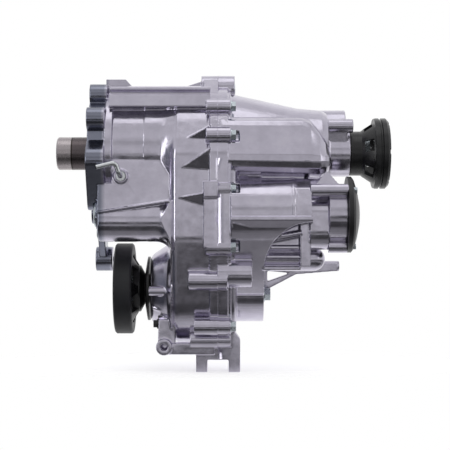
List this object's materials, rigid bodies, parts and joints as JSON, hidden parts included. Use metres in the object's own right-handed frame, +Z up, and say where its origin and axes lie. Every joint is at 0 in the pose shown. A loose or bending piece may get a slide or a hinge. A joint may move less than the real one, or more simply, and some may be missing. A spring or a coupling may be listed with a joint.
{
  "type": "transfer case",
  "caption": "Two-speed transfer case: cast housing, splined input, planetary range gear, chain-driven front output, clutch and rear output flange.",
  "frame": {"origin": "centre of the gearbox flange face on the main shaft line", "axes": "+X along the main shaft towards the rear output flange, +Z up from the front output to the main shaft, -Y towards the selector housing"},
  "size_m": [0.477, 0.23, 0.424],
  "materials": {
    "cast_aluminium": "as cast, fine grain",
    "zinc_steel": "zinc plated",
    "gear_steel": "ground and oiled",
    "bearing_steel": "ground and polished",
    "turned_steel": "turned, dark behind the seat",
    "black_steel": "satin black coating",
    "seal_rubber": "matte",
    "black_plastic": "moulded, satin",
    "friction_lining": "paper lining, oiled"
  },
  "bodies": {
    "case": {"front_case": "cast_aluminium", "rear_case": "cast_aluminium", "joint_bolts": "zinc_steel", "joint_dowels": "bearing_steel", "ring_gear": "gear_steel", "ring_gear_snap_ring": "gear_steel", "input_seal": "seal_rubber", "rear_output_seal": "seal_rubber", "front_output_seal": "seal_rubber", "drain_plug": "black_steel", "fill_plug": "zinc_steel", "selector_bore_plug": "zinc_steel", "core_plug": "zinc_steel", "breather": "zinc_steel", "drive_chain": "gear_steel", "port_cap": "black_plastic", "port_cap_screws": "zinc_steel", "reaction_sleeve": "gear_steel", "input_bearing_outer": "bearing_steel", "rear_bearing_outer": "bearing_steel", "front_bearing_outer": "bearing_steel", "tail_bearing_outer": "bearing_steel"},
    "main_drive": {"main_shaft": "gear_steel", "drive_sprocket": "gear_steel", "clutch_drum": "gear_steel", "clutch_hub": "gear_steel", "steel_plates": "bearing_steel", "friction_plates": "friction_lining", "rear_output_flange": "black_steel", "rear_flange_nut": "zinc_steel", "rear_bearing_inner": "bearing_steel"},
    "input": {"input_shaft": "turned_steel", "input_bearing_inner": "bearing_steel"},
    "carrier": {"planet_carrier": "gear_steel", "planet_pins": "bearing_steel"},
    "planet_1": {"planet_gear_1": "gear_steel"},
    "planet_2": {"planet_gear_2": "gear_steel"},
    "planet_3": {"planet_gear_3": "gear_steel"},
    "planet_4": {"planet_gear_4": "gear_steel"},
    "front_drive": {"front_output_shaft": "gear_steel", "driven_sprocket": "gear_steel", "front_output_flange": "black_steel", "damper_ring": "black_steel", "front_flange_nut": "zinc_steel", "dust_shield": "black_steel", "front_bearing_inner": "bearing_steel", "tail_bearing_inner": "bearing_steel"},
    "shift_fork": {"shift_fork": "cast_aluminium"},
    "range_sleeve": {"range_sleeve": "gear_steel"},
    "selector": {"selector_shaft": "bearing_steel", "shift_drum": "gear_steel", "selector_pinion": "gear_steel"},
    "ball_ramp": {"ball_ramp_ring": "gear_steel"},
    "pressure": {"pressure_plate": "gear_steel", "ramp_balls": "bearing_steel"}
  },
  "joints": [
    {"name": "main_spin", "type": "hinge", "parent": "case", "child": "main_drive", "pos_m": [0.3, 0, 0], "axis": [1, 0, 0], "continuous": true},
    {"name": "input_spin", "type": "hinge", "parent": "case", "child": "input", "pos_m": [0.02, 0, 0], "axis": [1, 0, 0], "continuous": true},
    {"name": "carrier_spin", "type": "hinge", "parent": "case", "child": "carrier", "pos_m": [0.05, 0, 0], "axis": [1, 0, 0], "continuous": true},
    {"name": "planet_1_spin", "type": "hinge", "parent": "carrier", "child": "planet_1", "pos_m": [0.048, 0.048, 0], "axis": [1, 0, 0], "continuous": true},
    {"name": "planet_2_spin", "type": "hinge", "parent": "carrier", "child": "planet_2", "pos_m": [0.048, 0, 0.048], "axis": [1, 0, 0], "continuous": true},
    {"name": "planet_3_spin", "type": "hinge", "parent": "carrier", "child": "planet_3", "pos_m": [0.048, -0.048, 0], "axis": [1, 0, 0], "continuous": true},
    {"name": "planet_4_spin", "type": "hinge", "parent": "carrier", "child": "planet_4", "pos_m": [0.048, 0, -0.048], "axis": [1, 0, 0], "continuous": true},
    {"name": "front_spin", "type": "hinge", "parent": "case", "child": "front_drive", "pos_m": [0.1, 0, -0.19526], "axis": [1, 0, 0], "continuous": true, "deforming": ["drive_chain"]},
    {"name": "selector_turn", "type": "hinge", "parent": "case", "child": "selector", "pos_m": [0.2, -0.06881, -0.089], "axis": [1, 0, 0], "range_deg": [0, 75]},
    {"name": "fork_slide", "type": "slide", "parent": "case", "child": "shift_fork", "axis": [1, 0, 0], "range_m": [0, 0.01201]},
    {"name": "sleeve_spin", "type": "hinge", "parent": "shift_fork", "child": "range_sleeve", "pos_m": [0.09, 0, 0], "axis": [1, 0, 0], "continuous": true},
    {"name": "ball_ramp_turn", "type": "hinge", "parent": "case", "child": "ball_ramp", "pos_m": [0.227, 0, 0], "axis": [1, 0, 0], "range_deg": [-14.29, 0]},
    {"name": "pressure_slide", "type": "slide", "parent": "case", "child": "pressure", "axis": [1, 0, 0], "range_m": [-0.00181, 0]}
  ],
  "couplings": [
    {"joint": "input_spin", "follows": "main_spin", "ratio": 1},
    {"joint": "carrier_spin", "follows": "main_spin", "ratio": 0.375},
    {"joint": "planet_1_spin", "follows": "main_spin", "ratio": -1.875},
    {"joint": "planet_2_spin", "follows": "main_spin", "ratio": -1.875},
    {"joint": "planet_3_spin", "follows": "main_spin", "ratio": -1.875},
    {"joint": "planet_4_spin", "follows": "main_spin", "ratio": -1.875},
    {"joint": "front_spin", "follows": "main_spin", "ratio": 1},
    {"joint": "sleeve_spin", "follows": "main_spin", "ratio": 1},
    {"joint": "fork_slide", "follows": "selector_turn", "m_per_rad": 0.0091673},
    {"joint": "ball_ramp_turn", "follows": "selector_turn", "ratio": -0.19048},
    {"joint": "pressure_slide", "follows": "selector_turn", "m_per_rad": -0.0013751}
  ]
}
